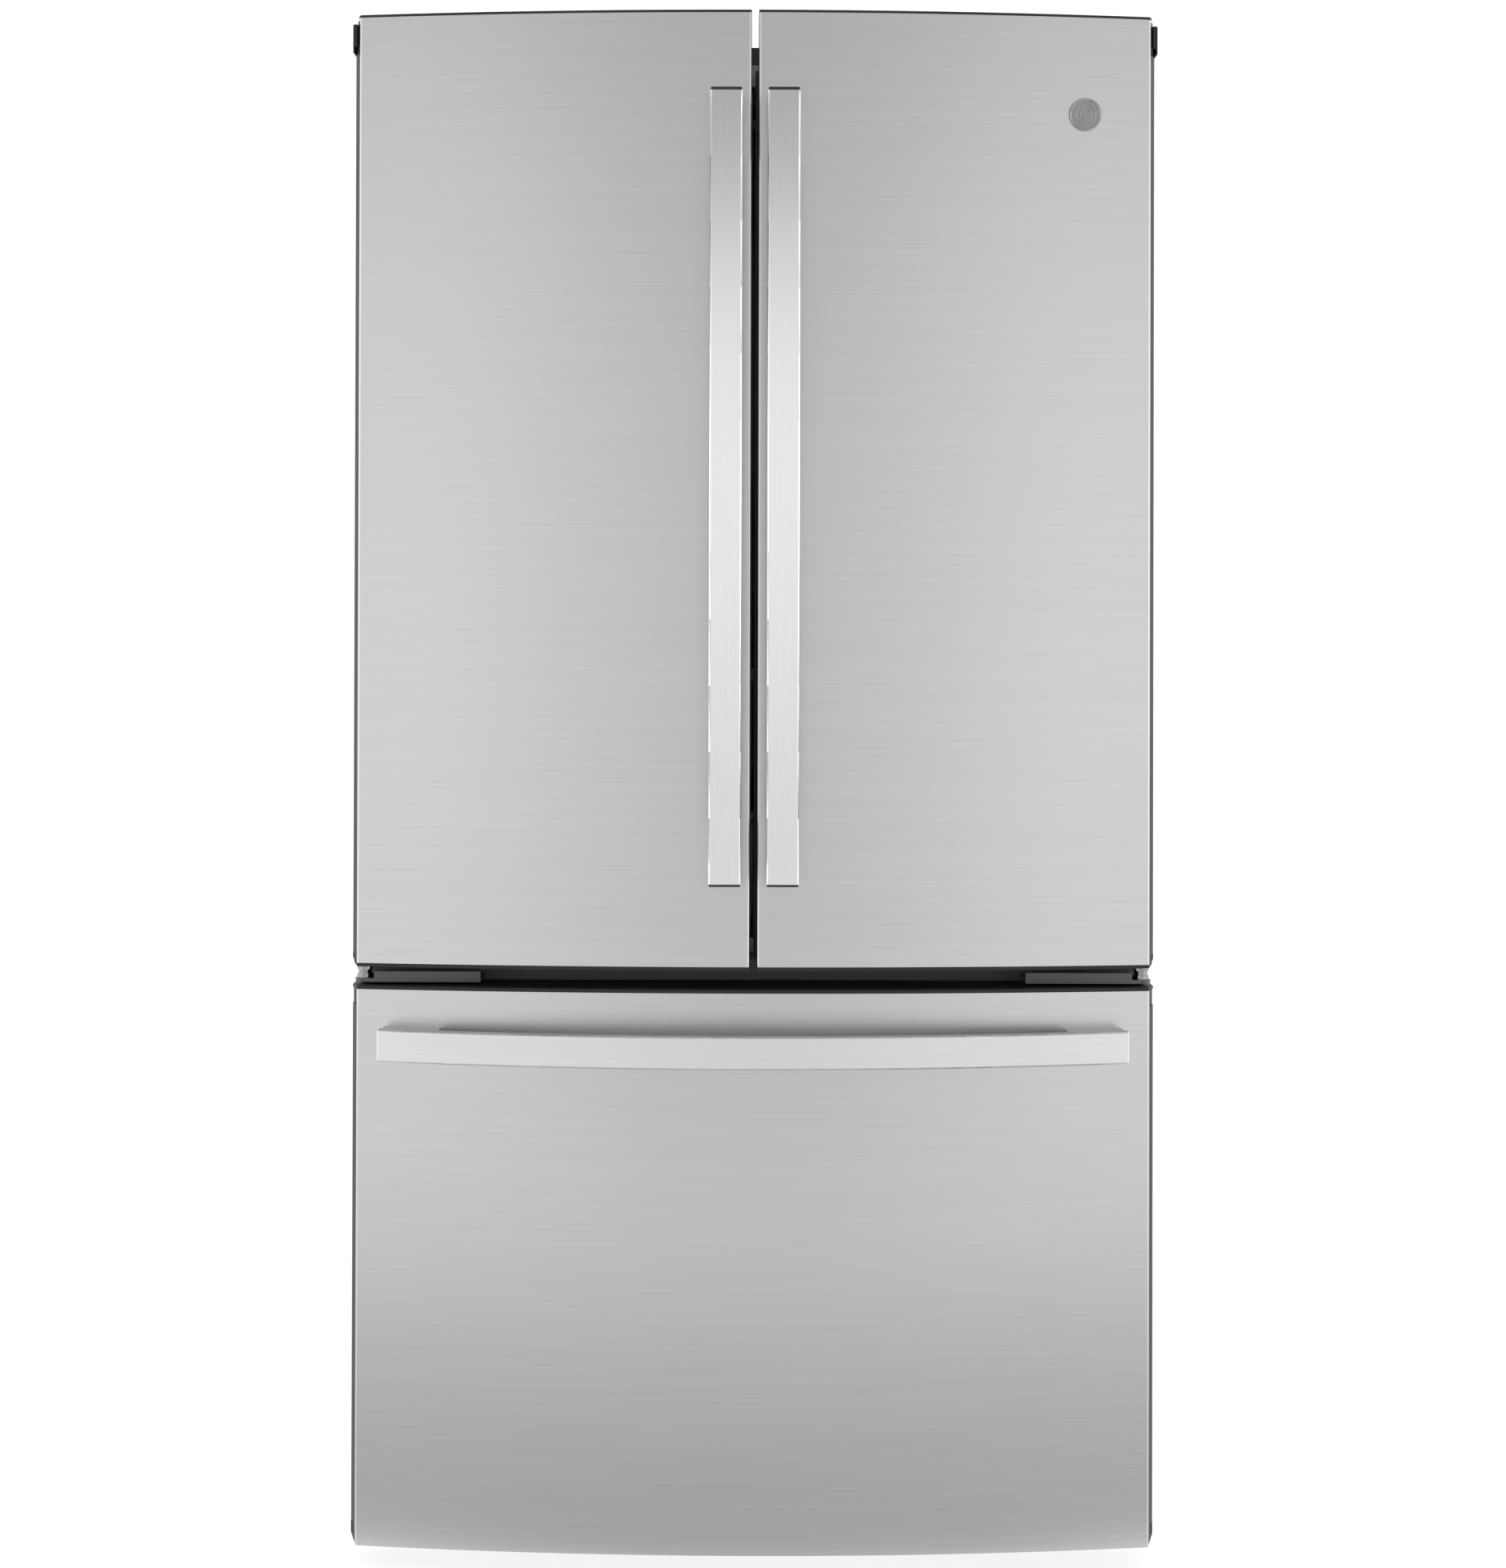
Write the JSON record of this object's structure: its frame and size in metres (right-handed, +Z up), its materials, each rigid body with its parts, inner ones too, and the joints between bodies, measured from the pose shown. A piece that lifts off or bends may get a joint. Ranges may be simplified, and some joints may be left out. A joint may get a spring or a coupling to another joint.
{
  "type": "french door refrigerator",
  "caption": "Tall refrigerator with two hinged fridge doors over a pull-out freezer drawer, bowed steel fronts, bar handles, shelves, bins and a machine bay.",
  "frame": {"origin": "on the floor under the middle of the bounding box", "axes": "+Z up, +Y from the doors towards the back, +X to the right of someone facing the doors"},
  "size_m": [0.912, 0.9189, 1.76],
  "materials": {
    "stainless": "horizontal brushed stainless steel",
    "handle_steel": "fine brushed stainless steel",
    "case_paint": "dark grey pre-painted steel, fine stipple",
    "dark_trim": "dark grey moulded plastic",
    "foam": "rigid polyurethane foam",
    "white_liner": "white vacuum formed plastic",
    "clear_plastic": "clear moulded plastic",
    "shelf_glass": "tempered glass",
    "gasket": "grey flexible gasket",
    "bright_metal": "polished metal",
    "zinc_steel": "zinc plated steel",
    "light_grey_plastic": "light grey moulded plastic",
    "black_plastic": "black moulded plastic",
    "black_paint": "black painted steel",
    "fin_aluminium": "bare aluminium fins",
    "back_cover": "galvanised sheet steel"
  },
  "bodies": {
    "cabinet": {"outer_case": "case_paint", "foam_insulation": "foam", "fresh_food_liner": "white_liner", "freezer_liner": "white_liner", "base_frame": "zinc_steel", "toe_grille": "dark_trim", "hinge_brackets": "case_paint", "hinge_washers": "bright_metal", "hinge_covers": "dark_trim", "control_panel": "white_liner", "shelf_tracks": "zinc_steel", "shelf_frames": "white_liner", "glass_shelves": "shelf_glass", "crispers": "clear_plastic", "deli_drawer": "clear_plastic", "air_duct": "white_liner", "evaporator_cover": "white_liner", "evaporator_coil": "fin_aluminium", "slide_outer_rails": "zinc_steel", "ice_maker": "white_liner", "compressor": "black_paint", "condenser_coil": "black_paint", "bay_plastic_parts": "black_plastic", "water_valve": "light_grey_plastic", "rear_access_cover": "back_cover"},
    "left_door": {"left_door_skin": "stainless", "left_door_core": "foam", "left_door_caps": "dark_trim", "left_door_liner": "white_liner", "left_door_gasket": "gasket", "left_door_handle": "handle_steel", "left_door_bins": "clear_plastic"},
    "right_door": {"right_door_skin": "stainless", "right_door_core": "foam", "right_door_caps": "dark_trim", "right_door_liner": "white_liner", "right_door_gasket": "gasket", "right_door_handle": "handle_steel", "right_door_bins": "clear_plastic", "right_door_badge": "bright_metal"},
    "freezer_drawer": {"drawer_skin": "stainless", "drawer_core": "foam", "drawer_caps": "dark_trim", "drawer_liner": "white_liner", "drawer_gasket": "gasket", "drawer_handle": "handle_steel", "lower_bin": "clear_plastic", "slide_inner_rails": "zinc_steel"},
    "mullion_flap": {"mullion_flap": "light_grey_plastic"},
    "dairy_lid": {"dairy_lid": "clear_plastic"},
    "middle_slides": {"slide_middle_rails": "zinc_steel"},
    "upper_basket": {"upper_basket": "clear_plastic"},
    "left_humidity_slider": {"left_humidity_slider": "light_grey_plastic"},
    "right_humidity_slider": {"right_humidity_slider": "light_grey_plastic"},
    "evaporator_fan": {"evaporator_fan": "light_grey_plastic"},
    "condenser_fan": {"condenser_fan": "black_plastic"},
    "left_rear_roller": {"left_rear_roller": "black_plastic"},
    "right_rear_roller": {"right_rear_roller": "black_plastic"},
    "left_levelling_foot": {"left_levelling_foot": "black_plastic"},
    "right_levelling_foot": {"right_levelling_foot": "black_plastic"}
  },
  "joints": [
    {"name": "left_door_hinge", "type": "hinge", "parent": "cabinet", "child": "left_door", "pos_m": [-0.44, -0.3375, 1.2], "axis": [0, 0, -1], "range_deg": [0, 120]},
    {"name": "right_door_hinge", "type": "hinge", "parent": "cabinet", "child": "right_door", "pos_m": [0.44, -0.3375, 1.2], "axis": [0, 0, 1], "range_deg": [0, 120]},
    {"name": "mullion_flap_hinge", "type": "hinge", "parent": "left_door", "child": "mullion_flap", "pos_m": [-0.052, -0.275, 1.2], "axis": [0, 0, 1], "range_deg": [0, 90]},
    {"name": "dairy_lid_hinge", "type": "hinge", "parent": "left_door", "child": "dairy_lid", "pos_m": [-0.237, -0.2885, 1.527], "axis": [1, 0, 0], "range_deg": [0, 80]},
    {"name": "freezer_drawer_slide", "type": "slide", "parent": "cabinet", "child": "freezer_drawer", "axis": [0, -1, 0], "range_m": [0, 0.42]},
    {"name": "middle_slides_slide", "type": "slide", "parent": "cabinet", "child": "middle_slides", "axis": [0, -1, 0], "range_m": [0, 0.21]},
    {"name": "upper_basket_slide", "type": "slide", "parent": "cabinet", "child": "upper_basket", "axis": [0, -1, 0], "range_m": [0, 0.24]},
    {"name": "left_humidity_slide", "type": "slide", "parent": "cabinet", "child": "left_humidity_slider", "axis": [1, 0, 0], "range_m": [-0.028, 0.028]},
    {"name": "right_humidity_slide", "type": "slide", "parent": "cabinet", "child": "right_humidity_slider", "axis": [1, 0, 0], "range_m": [-0.028, 0.028]},
    {"name": "evaporator_fan_spin", "type": "hinge", "parent": "cabinet", "child": "evaporator_fan", "pos_m": [0, 0.34, 0.56], "axis": [0, 1, 0], "continuous": true},
    {"name": "condenser_fan_spin", "type": "hinge", "parent": "cabinet", "child": "condenser_fan", "pos_m": [0.02, 0.3675, 0.162], "axis": [1, 0, 0], "continuous": true},
    {"name": "left_roller_spin", "type": "hinge", "parent": "cabinet", "child": "left_rear_roller", "pos_m": [-0.425, 0.3995, 0.02], "axis": [1, 0, 0], "continuous": true},
    {"name": "right_roller_spin", "type": "hinge", "parent": "cabinet", "child": "right_rear_roller", "pos_m": [0.425, 0.3995, 0.02], "axis": [1, 0, 0], "continuous": true},
    {"name": "left_foot_turn", "type": "hinge", "parent": "cabinet", "child": "left_levelling_foot", "pos_m": [-0.4, -0.2505, 0], "axis": [0, 0, 1], "continuous": true},
    {"name": "right_foot_turn", "type": "hinge", "parent": "cabinet", "child": "right_levelling_foot", "pos_m": [0.4, -0.2505, 0], "axis": [0, 0, 1], "continuous": true}
  ],
  "couplings": [
    {"joint": "mullion_flap_hinge", "follows": "left_door_hinge", "ratio": 0.75},
    {"joint": "middle_slides_slide", "follows": "freezer_drawer_slide", "ratio": 0.5},
    {"joint": "upper_basket_slide", "follows": "freezer_drawer_slide", "ratio": 0.55}
  ]
}
